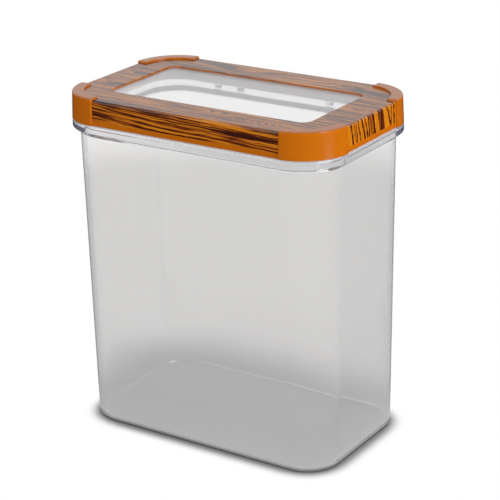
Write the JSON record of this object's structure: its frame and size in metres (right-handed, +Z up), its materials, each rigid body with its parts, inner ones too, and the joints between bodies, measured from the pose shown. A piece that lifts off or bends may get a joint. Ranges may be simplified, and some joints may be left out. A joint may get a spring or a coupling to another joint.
{
  "type": "rice bin with flip lid",
  "caption": "Clear rectangular food bin with a collar and a hinged flip lid: plain frame with corner blocks, wood-grain film, clear inner lid with a window, soft seal and steel hinge pins.",
  "frame": {"origin": "middle of the flat face that the bin stands on", "axes": "+Z up along the bin's height, -Y the front that the lid opens from, +Y the hinge side, +X to the right seen from the front"},
  "size_m": [0.2294, 0.1493, 0.26],
  "materials": {
    "clear_bin": "clear, water-white moulded styrene plastic, polished",
    "lid_plastic": "glossy orange-brown moulded plastic",
    "wood_print": "glossy printed wood-grain film",
    "clear_lid": "clear moulded styrene plastic, polished",
    "seal_rubber": "soft milky silicone rubber",
    "pin_steel": "plain drawn stainless wire"
  },
  "bodies": {
    "bin": {"bin_body": "clear_bin", "hinge_pin_left": "pin_steel", "hinge_pin_right": "pin_steel"},
    "lid": {"lid_frame": "lid_plastic", "wood_film": "wood_print", "inner_lid": "clear_lid", "lid_seal": "seal_rubber"}
  },
  "joints": [
    {"name": "lid_hinge", "type": "hinge", "parent": "bin", "child": "lid", "pos_m": [0, 0.0736, 0.2415], "axis": [-1, 0, 0], "range_deg": [0, 105]}
  ]
}
